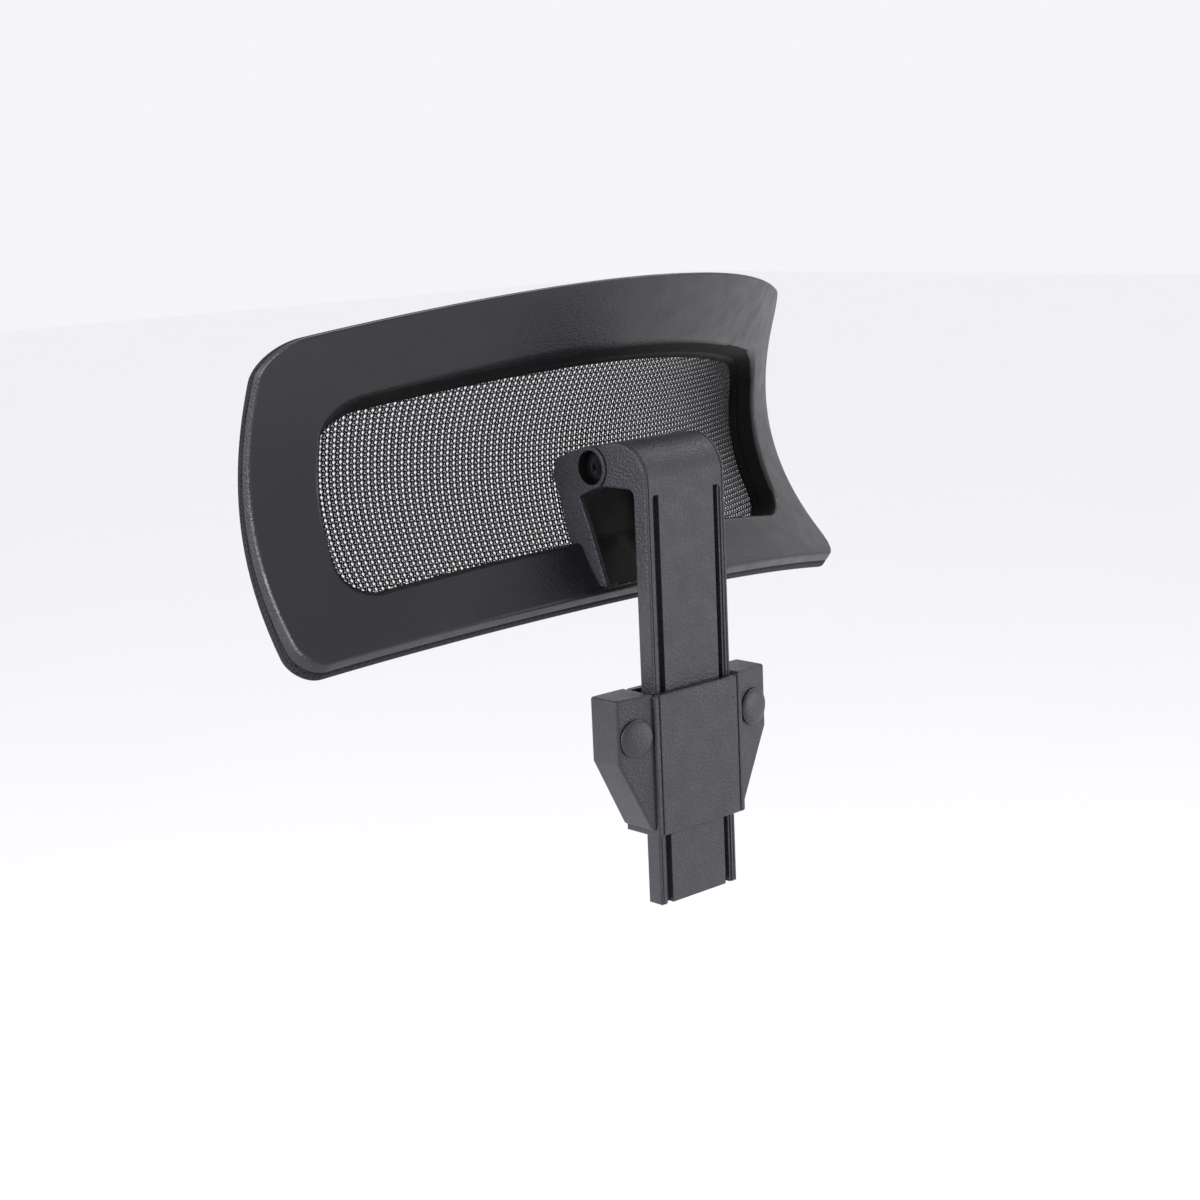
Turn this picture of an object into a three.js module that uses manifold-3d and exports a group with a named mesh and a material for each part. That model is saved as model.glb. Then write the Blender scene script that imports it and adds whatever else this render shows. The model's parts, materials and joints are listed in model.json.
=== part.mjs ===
// Chair headrest attachment: a tilting mesh headrest on a height-adjustable slider bar, with the
// bracket that fixes the bar to the top rail of a chair back.
// Millimetres. The origin is the centre of the bracket face that meets the chair. +Z is up along
// the bar, +Y points to the rear and the sitter faces -Y. Left pieces lie at +X.

import * as THREE from 'three';
import { mergeVertices } from 'three/addons/utils/BufferGeometryUtils.js';
import Module from 'manifold-3d';

const wasm = await Module();
wasm.setup();

// ---------------------------------------------------------------- driving dimensions

const GAP = 0.3;

const BAR = {
  width: 45,
  thickness: 7.5,
  rearY: 16,
  bottomZ: -60,
  grooveX: 17,
  grooveWidth: 2.9,
  grooveDepth: 2.6,
  grooveTopZ: 111,
};

const ARM = {
  topZ: 131.8,
  undersideZ: 113,
  shoulderRadius: 16,
  innerRadius: 3,
};

const PIVOT = {
  y: -15.4,
  z: 120.6,
  knuckleRadius: 8,
  knuckleHalfWidth: 15.2,
  bossRadius: 8.8,
  boltRadius: 3,
  headRadius: 6.2,
  recessRadius: 7.2,
};

const EAR = { innerX: 16.5, outerX: 22.8 };

const SLEEVE = {
  halfWidth: 25.5,
  rearY: 19.6,
  topZ: 30,
  bottomZ: -29.5,
  channelHalfWidth: 24.1,
};

const FLANGE = {
  halfWidth: 43,
  topZ: 30.8,
  cornerZ: 4,
  footHalfWidth: 27,
  footZ: -26.5,
  rearY: 17,
  screwX: 34.1,
  screwZ: 14,
  sweep: THREE.MathUtils.degToRad(6.7),
};

const PLATE = {
  halfWidth: 29.5,
  topZ: 27.5,
  cornerZ: -14,
  footHalfWidth: 21,
  footZ: -27.5,
  thickness: 2.6,
  screwX: 26.6,
  screwZs: [24, -8],
};

const STOP = { z: -54, halfHeight: 4, halfWidth: 8, frontY: 1.2 };

const CAP = { radius: 8, rise: 2.2, stemRadius: 6.2, stemLength: 3 };

// The headrest's rear surface: a saddle that wraps round the head and bulges towards the neck.
const SADDLE = {
  midZ: 140,
  midY: -27.2,
  lean: 0.25,
  neckBend: 0.00563,
  neckEase: -0.000019,
  headWrap: 0.00223,
  wrapRise: 0.000007,
};

const REAR_OUTLINE = {
  halfWidth: 148.1,
  topZ: 197.2,
  bottomZ: 69.5,
  topSag: 0.00085,
  bottomSag: 0.00056,
  taper: -0.00047,
  topRadius: 13.6,
  bottomRadius: 9.5,
};

const REAR_RIM = {
  halfWidth: 123.8,
  topZ: 169,
  bottomZ: 89.3,
  topSag: 0.00099,
  bottomSag: 0.00073,
  taper: -0.00037,
  topRadius: 13,
  bottomRadius: 15.5,
};

const FRONT_OUTLINE = { ...REAR_OUTLINE, halfWidth: 149, topZ: 197, bottomZ: 61.1 };
const FRONT_RIM = { ...REAR_RIM, halfWidth: 119.5, topZ: 161.3, bottomZ: 86.4 };

// Depth from the rear surface to the back of the mesh, at the outside and at the opening.
const OUTER_DEPTH = 8;
const RIM_DEPTH = 12;
const FRAME_OUTER_DEPTH = 4.7;
const FRAME_RIM_DEPTH = 8.4;
const CARRIER_THICKNESS = 3;
const MESH_THICKNESS = 1;

const CORNER_STEPS = 5;
const LONG_SIDE_POINTS = 12;
const SHORT_SIDE_POINTS = 4;

// ---------------------------------------------------------------- materials

function plastic(color, roughness) {
  return new THREE.MeshStandardMaterial({ color, roughness, metalness: 0 });
}

function steel(color, roughness) {
  return new THREE.MeshStandardMaterial({ color, roughness, metalness: 1 });
}

// ---------------------------------------------------------------- solid helpers

function toSolid(geometry) {
  const bare = geometry.clone();
  bare.deleteAttribute('normal');
  bare.deleteAttribute('uv');
  const merged = mergeVertices(bare, 1e-4);
  const vertProperties = new Float32Array(merged.attributes.position.array);
  const triVerts = new Uint32Array(merged.index.array);
  return new wasm.Manifold(new wasm.Mesh({ numProp: 3, vertProperties, triVerts }));
}

function toGeometry(solid) {
  const mesh = solid.getMesh();
  const indexed = new THREE.BufferGeometry();
  const positions = new Float32Array(mesh.numVert * 3);
  for (let vertex = 0; vertex < mesh.numVert; vertex += 1) {
    for (let axis = 0; axis < 3; axis += 1) {
      positions[vertex * 3 + axis] = mesh.vertProperties[vertex * mesh.numProp + axis];
    }
  }
  indexed.setAttribute('position', new THREE.BufferAttribute(positions, 3));
  indexed.setIndex(new THREE.BufferAttribute(new Uint32Array(mesh.triVerts), 1));
  const geometry = indexed.toNonIndexed();
  geometry.computeVertexNormals();
  return geometry;
}

function union(first, ...others) {
  return toGeometry(others.reduce((sum, geometry) => sum.add(toSolid(geometry)), toSolid(first)));
}

function subtract(first, ...others) {
  return toGeometry(others.reduce((rest, geometry) => rest.subtract(toSolid(geometry)), toSolid(first)));
}

// A box given by its low and high corners.
function box([x0, y0, z0], [x1, y1, z1]) {
  const geometry = new THREE.BoxGeometry(x1 - x0, y1 - y0, z1 - z0);
  return geometry.translate((x0 + x1) / 2, (y0 + y1) / 2, (z0 + z1) / 2);
}

// A solid turned about +Y or +X. The profile is a list of [radius, distance along the axis]
// that starts and ends on the axis, or closes on itself for a ring.
function turned(axis, profile, segments = 28) {
  const points = profile.map(([radius, along]) => new THREE.Vector2(radius, along));
  const geometry = new THREE.LatheGeometry(points, segments);
  return axis === 'x' ? geometry.rotateZ(-Math.PI / 2) : geometry;
}

function disc(axis, radius, from, to, segments) {
  return turned(axis, [[0, from], [radius, from], [radius, to], [0, to]], segments);
}

function ring(axis, inner, outer, from, to, segments) {
  return turned(axis, [[inner, from], [outer, from], [outer, to], [inner, to], [inner, from]], segments);
}

// A side-view shape drawn in (y, z) and extruded along X between two distances.
function sideExtrusion(shape, fromX, toX, bevel = 0) {
  const geometry = new THREE.ExtrudeGeometry(shape, {
    depth: toX - fromX - 2 * bevel,
    bevelEnabled: bevel > 0,
    bevelSize: bevel,
    bevelOffset: -bevel,
    bevelThickness: bevel,
    bevelSegments: 1,
    curveSegments: 8,
  });
  geometry.rotateY(Math.PI / 2);
  geometry.rotateX(Math.PI / 2);
  return geometry.translate(fromX + bevel, 0, 0);
}

// A rear-view shape drawn in (x, z) and extruded along +Y between two distances.
function rearExtrusion(shape, fromY, toY, bevel = 0) {
  const geometry = new THREE.ExtrudeGeometry(shape, {
    depth: toY - fromY - 2 * bevel,
    bevelEnabled: bevel > 0,
    bevelSize: bevel,
    bevelOffset: -bevel,
    bevelThickness: bevel,
    bevelSegments: 1,
  });
  geometry.rotateX(Math.PI / 2);
  return geometry.translate(0, toY - bevel, 0);
}

function shapeOf(points) {
  return new THREE.Shape(points.map(([a, b]) => new THREE.Vector2(a, b)));
}

function part(name, geometry, material) {
  const mesh = new THREE.Mesh(geometry, material);
  mesh.name = name;
  return mesh;
}

// ---------------------------------------------------------------- headrest surface

function saddleY(x, z) {
  const rise = z - SADDLE.midZ;
  const neck = SADDLE.lean * rise + SADDLE.neckBend * rise ** 2 + SADDLE.neckEase * rise ** 3;
  return SADDLE.midY + neck - (SADDLE.headWrap + SADDLE.wrapRise * rise) * x ** 2;
}

// Four rounded corners joined by straight stretches, then bent: every outline has the same
// number of points, so rings made from two outlines match point for point.
function outlinePoints(spec) {
  const corners = [
    { sideX: 1, z: spec.bottomZ, radius: spec.bottomRadius, start: -Math.PI / 2 },
    { sideX: 1, z: spec.topZ, radius: spec.topRadius, start: 0 },
    { sideX: -1, z: spec.topZ, radius: spec.topRadius, start: Math.PI / 2 },
    { sideX: -1, z: spec.bottomZ, radius: spec.bottomRadius, start: Math.PI },
  ];
  const flat = [];
  corners.forEach((corner, index) => {
    const inward = corner.z === spec.topZ ? -1 : 1;
    const centreX = corner.sideX * (spec.halfWidth - corner.radius);
    const centreZ = corner.z + inward * corner.radius;
    for (let step = 0; step <= CORNER_STEPS; step += 1) {
      const angle = corner.start + (step / CORNER_STEPS) * (Math.PI / 2);
      flat.push([centreX + corner.radius * Math.cos(angle), centreZ + corner.radius * Math.sin(angle)]);
    }
    const next = corners[(index + 1) % corners.length];
    const nextInward = next.z === spec.topZ ? -1 : 1;
    const nextX = next.sideX * (spec.halfWidth - next.radius) + next.radius * Math.cos(next.start);
    const nextZ = next.z + nextInward * next.radius + next.radius * Math.sin(next.start);
    const count = index % 2 === 0 ? SHORT_SIDE_POINTS : LONG_SIDE_POINTS;
    const [lastX, lastZ] = flat[flat.length - 1];
    for (let step = 1; step <= count; step += 1) {
      const share = step / (count + 1);
      flat.push([lastX + (nextX - lastX) * share, lastZ + (nextZ - lastZ) * share]);
    }
  });
  return flat.map(([x, z]) => bendOutlinePoint(spec, x, z));
}

function bendOutlinePoint(spec, x, z) {
  const height = (z - spec.bottomZ) / (spec.topZ - spec.bottomZ);
  const sag = spec.bottomSag + (spec.topSag - spec.bottomSag) * height;
  return [x * (1 + spec.taper * (z - SADDLE.midZ)), z - sag * x ** 2];
}

const rearOutline = outlinePoints(REAR_OUTLINE);
const rearRim = outlinePoints(REAR_RIM);
const frontOutline = outlinePoints(FRONT_OUTLINE);
const frontRim = outlinePoints(FRONT_RIM);

// A point of the headrest's edge ring: share 0 is on the outside and 1 on the opening's rim;
// outerDepth and rimDepth say how far in front of the rear surface it lies at either end.
function edgePoint(index, share, outerDepth, rimDepth) {
  const outer = depthPoint(rearOutline[index], frontOutline[index], outerDepth, OUTER_DEPTH);
  const rim = depthPoint(rearRim[index], frontRim[index], rimDepth, RIM_DEPTH);
  const straight = outer.clone().lerp(rim, share);
  const bulge = saddleBulge(rearOutline[index], rearRim[index], share);
  return straight.add(new THREE.Vector3(0, bulge, 0));
}

function depthPoint([rearX, rearZ], [frontX, frontZ], depth, fullDepth) {
  const share = depth / fullDepth;
  const x = rearX + (frontX - rearX) * share;
  const z = rearZ + (frontZ - rearZ) * share;
  return new THREE.Vector3(x, saddleY(rearX, rearZ) - depth, z);
}

// How far the saddle stands off the straight line between the outline and the rim.
function saddleBulge([x0, z0], [x1, z1], share) {
  const onSurface = saddleY(x0 + (x1 - x0) * share, z0 + (z1 - z0) * share);
  const onChord = saddleY(x0, z0) + (saddleY(x1, z1) - saddleY(x0, z0)) * share;
  return onSurface - onChord;
}

function edgeRing(share, outerDepth, rimDepth) {
  return rearOutline.map((_, index) => edgePoint(index, share, outerDepth, rimDepth));
}

// The two triangles of a four-sided patch, split along its shorter diagonal so that facing
// patches of neighbouring pieces fold the same way.
function patch(points, a, b, c, d) {
  const splitAC = points[a].distanceTo(points[c]) < points[b].distanceTo(points[d]);
  return splitAC ? [a, b, c, a, c, d] : [a, b, d, b, c, d];
}

// A closed tube whose cross-section is the list of rings; the last ring joins the first.
function ringTube(rings) {
  const points = rings.flat();
  const count = rings[0].length;
  const indices = [];
  rings.forEach((_, row) => {
    const nextRow = (row + 1) % rings.length;
    for (let column = 0; column < count; column += 1) {
      const nextColumn = (column + 1) % count;
      const a = row * count + column;
      const b = row * count + nextColumn;
      const c = nextRow * count + nextColumn;
      const d = nextRow * count + column;
      indices.push(...patch(points, a, b, c, d));
    }
  });
  return outwardGeometry(points, indices);
}

// A skin from one centre point through the rings to the other centre point.
function ringDome(firstCentre, rings, lastCentre) {
  const points = [firstCentre, ...rings.flat(), lastCentre];
  const count = rings[0].length;
  const last = points.length - 1;
  const indices = [];
  for (let column = 0; column < count; column += 1) {
    const nextColumn = (column + 1) % count;
    indices.push(0, 1 + nextColumn, 1 + column);
    const finalRow = 1 + (rings.length - 1) * count;
    indices.push(last, finalRow + column, finalRow + nextColumn);
    for (let row = 0; row < rings.length - 1; row += 1) {
      const a = 1 + row * count + column;
      const b = 1 + row * count + nextColumn;
      indices.push(...patch(points, a, b, b + count, a + count));
    }
  }
  return outwardGeometry(points, indices);
}

function outwardGeometry(points, indices) {
  let volume = 0;
  for (let face = 0; face < indices.length; face += 3) {
    const [a, b, c] = [0, 1, 2].map((offset) => points[indices[face + offset]]);
    volume += a.dot(b.clone().cross(c)) / 6;
  }
  const geometry = new THREE.BufferGeometry();
  const positions = points.flatMap((point) => point.toArray());
  geometry.setAttribute('position', new THREE.Float32BufferAttribute(positions, 3));
  geometry.setIndex(volume > 0 ? indices : indices.reverse());
  const flat = geometry.toNonIndexed();
  flat.computeVertexNormals();
  return flat;
}

// ---------------------------------------------------------------- headrest pieces

function frameBand() {
  return ringTube([
    edgeRing(0.07, 0, 0),
    edgeRing(0.5, 0, 0),
    edgeRing(0.93, 0, 0),
    edgeRing(1, 1.6, 1.6),
    edgeRing(1, FRAME_OUTER_DEPTH, FRAME_RIM_DEPTH),
    edgeRing(0.5, FRAME_OUTER_DEPTH, FRAME_RIM_DEPTH),
    edgeRing(0.07, FRAME_OUTER_DEPTH, FRAME_RIM_DEPTH),
    edgeRing(0, FRAME_OUTER_DEPTH, FRAME_RIM_DEPTH),
    edgeRing(0, 1.2, 1.2),
  ]);
}

// An ear seen from the side: a round boss at the pivot and a tapering leg that runs forwards,
// then down and back to the lower rail.
function earShape() {
  const shape = new THREE.Shape();
  shape.moveTo(PIVOT.y - 4, PIVOT.z + 8);
  shape.lineTo(-33, 124.5);
  shape.quadraticCurveTo(-39.5, 122.5, -39.6, 115.5);
  shape.lineTo(-35.3, 106.5);
  shape.lineTo(-31.9, 93);
  shape.lineTo(-29.2, 87.5);
  shape.lineTo(-22, 79);
  shape.lineTo(-13, 71);
  shape.lineTo(-9, 71.8);
  shape.lineTo(-17.5, 94.3);
  shape.lineTo(-23.3, 107.9);
  shape.lineTo(PIVOT.y + 2, PIVOT.z - 8.4);
  return shape;
}

function ears() {
  return [-1, 1].flatMap((side) => {
    const fromX = side > 0 ? EAR.innerX : -EAR.outerX;
    const boss = disc('x', PIVOT.bossRadius, fromX, fromX + EAR.outerX - EAR.innerX, 40);
    boss.translate(0, PIVOT.y, PIVOT.z);
    return [boss, sideExtrusion(earShape(), fromX, fromX + EAR.outerX - EAR.innerX)];
  });
}

// The wall that joins the two ears along their front edges.
function earWeb() {
  const front = [[-39.2, 119], [-39.5, 115.5], [-35.2, 106.5], [-31.9, 93], [-29.2, 87.5]];
  const rear = [[-26.8, 87.5], [-28.6, 93], [-31.8, 105.5], [-36, 114.5], [-36, 119]];
  return sideExtrusion(shapeOf([...front, ...rear]), -EAR.innerX - 1, EAR.innerX + 1);
}

// The pocket between the ears, sunk into the lower rail from behind.
function railPocket() {
  const depth = 23;
  const length = 24;
  const pocket = box([-EAR.innerX, -depth / 2, -length / 2], [EAR.innerX, depth / 2, length / 2]);
  pocket.rotateX(Math.atan2(13.4, 18.9));
  return pocket.translate(0, -11.2, 86.2);
}

function pivotBores() {
  const through = disc('x', PIVOT.boltRadius + GAP, -30, 30, 28);
  const leftRecess = disc('x', PIVOT.recessRadius, EAR.outerX - 4.4, 30, 36);
  const rightRecess = disc('x', PIVOT.recessRadius, -30, -EAR.outerX + 4.4, 36);
  return [through, leftRecess, rightRecess].map((bore) => bore.translate(0, PIVOT.y, PIVOT.z));
}

function headrestFrame() {
  const lug = union(frameBand(), ...ears(), earWeb());
  const geometry = subtract(lug, railPocket(), ...pivotBores());
  return part('headrest_frame', geometry, plastic(0x2c2c2f, 0.55));
}

function meshCarrier() {
  const back = [FRAME_OUTER_DEPTH + GAP, FRAME_RIM_DEPTH + GAP];
  const front = back.map((depth) => depth + CARRIER_THICKNESS - GAP);
  const geometry = ringTube([
    edgeRing(0.07, ...back),
    edgeRing(0.5, ...back),
    edgeRing(1, ...back),
    edgeRing(1, ...front),
    edgeRing(0.5, ...front),
    edgeRing(0.07, ...front),
  ]);
  return part('mesh_carrier', geometry, plastic(0x1d1d1f, 0.7));
}

// The turned edge of the fabric, wrapped round the outside of the carrier.
function meshHem() {
  const back = [FRAME_OUTER_DEPTH + GAP, FRAME_RIM_DEPTH + GAP];
  const front = back.map((depth) => depth + CARRIER_THICKNESS - GAP);
  const geometry = ringTube([
    edgeRing(0, ...back),
    edgeRing(0.05, ...back),
    edgeRing(0.05, ...front),
    edgeRing(0, ...front),
  ]);
  return part('mesh_hem', geometry, plastic(0x1a1a1c, 0.9));
}

function meshPanel() {
  const centre = new THREE.Vector3(0, saddleY(0, 123) - RIM_DEPTH, 123);
  const shares = [0.35, 0.7];
  const inner = shares.map((share) => frontRim.map(([x, z]) => {
    const innerX = x * share;
    const innerZ = centre.z + (z - centre.z) * share;
    return new THREE.Vector3(innerX, saddleY(innerX, innerZ) - RIM_DEPTH, innerZ);
  }));
  const edge = [1, 0.5, 0.07, 0].map((share) => edgeRing(share, OUTER_DEPTH, RIM_DEPTH));
  const back = [...inner, ...edge];
  const forward = new THREE.Vector3(0, -MESH_THICKNESS, 0);
  const front = back.map((points) => points.map((point) => point.clone().add(forward)));
  const geometry = ringDome(centre, [...back, ...front.reverse()], centre.clone().add(forward));
  return part('mesh_panel', geometry, plastic(0x202022, 0.95));
}

function pivotBolt() {
  const headFrom = EAR.outerX - 4.1;
  const shank = PIVOT.boltRadius;
  const tip = -EAR.outerX + 1.6;
  const geometry = turned('x', [
    [0, tip],
    [shank - 0.5, tip],
    [shank, tip + 0.6],
    [shank, headFrom],
    [PIVOT.headRadius, headFrom],
    [PIVOT.headRadius, headFrom + 1.4],
    [PIVOT.headRadius - 1.2, headFrom + 2.4],
    [3, headFrom + 2.8],
    [0, headFrom + 2.9],
  ]);
  return part('pivot_bolt', geometry.translate(0, PIVOT.y, PIVOT.z), steel(0x151517, 0.25));
}

function pivotNut() {
  const inner = -EAR.outerX + 4.1;
  const hexagon = disc('x', PIVOT.headRadius, inner - 2.4, inner, 6);
  const nut = subtract(hexagon, disc('x', PIVOT.boltRadius + GAP, inner - 5, inner + 5, 28));
  return part('pivot_nut', nut.translate(0, PIVOT.y, PIVOT.z), steel(0x8a8c90, 0.35));
}

function frictionWasher(side) {
  const thickness = EAR.innerX - PIVOT.knuckleHalfWidth - 2 * GAP;
  const from = side > 0 ? PIVOT.knuckleHalfWidth + GAP : -EAR.innerX + GAP;
  const washer = ring('x', PIVOT.boltRadius + GAP, 6.8, from, from + thickness);
  const name = side > 0 ? 'friction_washer_left' : 'friction_washer_right';
  return part(name, washer.translate(0, PIVOT.y, PIVOT.z), plastic(0xd8d4c4, 0.5));
}

// ---------------------------------------------------------------- slider pieces

// The bar and its hooked arm seen from the side.
function barShape() {
  const frontY = BAR.rearY - BAR.thickness;
  const shoulderY = BAR.rearY - ARM.shoulderRadius;
  const shoulderZ = ARM.topZ - ARM.shoulderRadius;
  const shape = new THREE.Shape();
  shape.moveTo(frontY, BAR.bottomZ);
  shape.lineTo(BAR.rearY, BAR.bottomZ);
  shape.lineTo(BAR.rearY, shoulderZ);
  shape.absarc(shoulderY, shoulderZ, ARM.shoulderRadius, 0, Math.PI / 2, false);
  shape.lineTo(-5, ARM.topZ);
  shape.absarc(PIVOT.y, PIVOT.z, PIVOT.knuckleRadius, Math.PI * 0.4, Math.PI * 1.6, false);
  shape.lineTo(PIVOT.y + 5, ARM.undersideZ);
  shape.lineTo(frontY - ARM.innerRadius, ARM.undersideZ);
  shape.absarc(
    frontY - ARM.innerRadius, ARM.undersideZ - ARM.innerRadius, ARM.innerRadius, Math.PI / 2, 0, true,
  );
  return shape;
}

function barGroove(side) {
  const centre = side * BAR.grooveX;
  const half = BAR.grooveWidth / 2;
  const floorY = BAR.rearY - BAR.grooveDepth;
  return box([centre - half, floorY, BAR.bottomZ - 5], [centre + half, BAR.rearY + 5, BAR.grooveTopZ]);
}

// Clearance for an ear's boss in the side of the arm.
function bossClearance(side) {
  const from = side > 0 ? PIVOT.knuckleHalfWidth : -BAR.width;
  const cut = disc('x', PIVOT.bossRadius + 0.4, from, from + BAR.width - PIVOT.knuckleHalfWidth, 40);
  return cut.translate(0, PIVOT.y, PIVOT.z);
}

function sliderBar() {
  const blank = sideExtrusion(barShape(), -BAR.width / 2, BAR.width / 2, 0.8);
  const bushBore = disc('x', 5 + GAP, -30, 30, 28).translate(0, PIVOT.y, PIVOT.z);
  const stopHole = disc('y', 2.2, 0, 13.5, 20).translate(0, 0, STOP.z);
  const geometry = subtract(
    blank, barGroove(-1), barGroove(1), bossClearance(-1), bossClearance(1), bushBore, stopHole,
  );
  return part('slider_bar', geometry, plastic(0x29292c, 0.6));
}

// The block on the front of the bar's foot that meets the bracket at full height.
function travelStop() {
  const rearY = BAR.rearY - BAR.thickness - GAP;
  const block = box(
    [-STOP.halfWidth, STOP.frontY, STOP.z - STOP.halfHeight],
    [STOP.halfWidth, rearY, STOP.z + STOP.halfHeight],
  );
  const bore = disc('y', 2.3, 0, 10, 20).translate(0, 0, STOP.z);
  const recess = disc('y', 3.8, 0, STOP.frontY + 2.9, 20).translate(0, 0, STOP.z);
  return part('travel_stop', subtract(block, bore, recess), plastic(0x1f1f21, 0.6));
}

function travelStopScrew() {
  const headY = STOP.frontY + 0.4;
  const shoulderY = headY + 2.2;
  const profile = [[0, headY], [3.4, headY], [3.4, shoulderY], [1.9, shoulderY], [1.9, 13], [0, 13]];
  const geometry = turned('y', profile, 20);
  return part('travel_stop_screw', geometry.translate(0, 0, STOP.z), steel(0x8a8c90, 0.35));
}

function pivotBush(side) {
  const from = side > 0 ? 1 : -PIVOT.knuckleHalfWidth;
  const bush = ring('x', PIVOT.boltRadius + GAP, 5, from, from + PIVOT.knuckleHalfWidth - 1);
  const name = side > 0 ? 'pivot_bush_left' : 'pivot_bush_right';
  return part(name, bush.translate(0, PIVOT.y, PIVOT.z), plastic(0xd8d4c4, 0.5));
}

// ---------------------------------------------------------------- bracket pieces

function flangeBlank() {
  const outline = [
    [-FLANGE.halfWidth, FLANGE.topZ],
    [-FLANGE.halfWidth, FLANGE.cornerZ],
    [-FLANGE.footHalfWidth, FLANGE.footZ],
    [FLANGE.footHalfWidth, FLANGE.footZ],
    [FLANGE.halfWidth, FLANGE.cornerZ],
    [FLANGE.halfWidth, FLANGE.topZ],
  ];
  return rearExtrusion(shapeOf(outline), 0, 18.2, 1.2);
}

// The block that trims a flange's rear face to its swept-back plane.
function flangeTrim(side) {
  const block = box([-40, 0, -50], [40, 20, 50]);
  block.rotateZ(-side * FLANGE.sweep);
  block.translate(side * FLANGE.screwX, FLANGE.rearY, 0);
  return block;
}

function flanges() {
  const halves = [-1, 1].map((side) => {
    const keep = box([side > 0 ? 0 : -60, -1, -60], [side > 0 ? 60 : 0, 40, 60]);
    const half = toSolid(flangeBlank()).intersect(toSolid(keep));
    return half.subtract(toSolid(flangeTrim(side)));
  });
  return toGeometry(halves[0].add(halves[1]));
}

function sleeveBlock() {
  const outline = [
    [-SLEEVE.halfWidth, SLEEVE.topZ],
    [-SLEEVE.halfWidth, SLEEVE.bottomZ],
    [SLEEVE.halfWidth, SLEEVE.bottomZ],
    [SLEEVE.halfWidth, SLEEVE.topZ],
  ];
  return rearExtrusion(shapeOf(outline), 0, SLEEVE.rearY, 0.9);
}

function screwCounterbore(side) {
  const x = side * FLANGE.screwX;
  const head = disc('y', 6.8, 6, 40, 32).translate(x, 0, FLANGE.screwZ);
  const shank = disc('y', 3.3, -5, 10, 24).translate(x, 0, FLANGE.screwZ);
  return [head, shank];
}

function plateScrewSites() {
  return [-1, 1].flatMap((side) => PLATE.screwZs.map((z) => ({ side, x: side * PLATE.screwX, z })));
}

// The plate's outline, with room round it, between two distances from the mating face.
function platePrism(room, fromY, toY) {
  const half = PLATE.halfWidth + room;
  const foot = PLATE.footHalfWidth + room;
  const outline = [
    [-half, PLATE.topZ + room],
    [-half, PLATE.cornerZ],
    [-foot, PLATE.footZ - room],
    [foot, PLATE.footZ - room],
    [half, PLATE.cornerZ],
    [half, PLATE.topZ + room],
  ];
  return rearExtrusion(shapeOf(outline), fromY, toY);
}

function bracketHousing() {
  const channel = box(
    [-SLEEVE.channelHalfWidth, PLATE.thickness + GAP, -60],
    [SLEEVE.channelHalfWidth, BAR.rearY + 0.35, 60],
  );
  const plateSeat = platePrism(GAP, -5, PLATE.thickness + GAP);
  const pilotHoles = plateScrewSites().map(({ x, z }) => disc('y', 1.8, 0, 12.5, 16).translate(x, 0, z));
  const geometry = subtract(
    union(sleeveBlock(), flanges()),
    channel,
    plateSeat,
    ...screwCounterbore(-1),
    ...screwCounterbore(1),
    ...pilotHoles,
  );
  return part('bracket_housing', geometry, plastic(0x2a2a2d, 0.58));
}

function backPlate() {
  const slab = platePrism(0, 0, PLATE.thickness);
  const sinks = plateScrewSites().map(({ x, z }) => {
    const sink = turned('y', [[0, -1], [2.8, -1], [2.8, 0.9], [1.8, 2.2], [1.8, 5], [0, 5]], 20);
    return sink.translate(x, 0, z);
  });
  const clearances = [-1, 1].map((side) => {
    return disc('y', 6.2, -5, 10, 28).translate(side * FLANGE.screwX, 0, FLANGE.screwZ);
  });
  return part('bracket_back_plate', subtract(slab, ...sinks, ...clearances), plastic(0x222224, 0.65));
}

function plateScrew({ side, x, z }) {
  const screw = turned('y', [[0, 0.2], [2.5, 0.2], [2.5, 0.8], [1.5, 2], [1.5, 11.4], [0, 12]], 20);
  const height = z > 0 ? 'upper' : 'lower';
  const name = `plate_screw_${height}_${side > 0 ? 'left' : 'right'}`;
  return part(name, screw.translate(x, 0, z), steel(0x8a8c90, 0.35));
}

function glideLiner(side) {
  const near = side * (BAR.width / 2 + GAP);
  const far = side * (SLEEVE.channelHalfWidth - GAP);
  const liner = box(
    [Math.min(near, far), BAR.rearY - BAR.thickness, -28],
    [Math.max(near, far), BAR.rearY, 28.5],
  );
  return part(side > 0 ? 'glide_liner_left' : 'glide_liner_right', liner, plastic(0xe4e2da, 0.45));
}

// The pad that rubs on the bar's front face and holds the height.
function frictionPad() {
  const rearY = BAR.rearY - BAR.thickness - GAP;
  return part('friction_pad', box([-14, 5.9, -12], [14, rearY, 12]), plastic(0x3a3a3c, 0.8));
}

// The bowed steel strip that presses the pad against the bar.
function leafSpring() {
  const thickness = 0.6;
  const shape = new THREE.Shape();
  shape.moveTo(3.2, -20);
  shape.quadraticCurveTo(6.6, 0, 3.2, 20);
  shape.lineTo(3.2 + thickness, 20);
  shape.quadraticCurveTo(6.6 + thickness, 0, 3.2 + thickness, -20);
  return part('leaf_spring', sideExtrusion(shape, -8, 8), steel(0x9a9ca0, 0.3));
}

function mountScrew(side) {
  const screw = turned('y', [
    [0, 0.4],
    [2.4, 0.4],
    [2.9, 1],
    [2.9, 7.6],
    [5.5, 7.6],
    [5.5, 9.6],
    [4, 10.8],
    [0, 11.1],
  ]);
  const name = side > 0 ? 'mount_screw_left' : 'mount_screw_right';
  return part(name, screw.translate(side * FLANGE.screwX, 0, FLANGE.screwZ), steel(0x8a8c90, 0.35));
}

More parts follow.
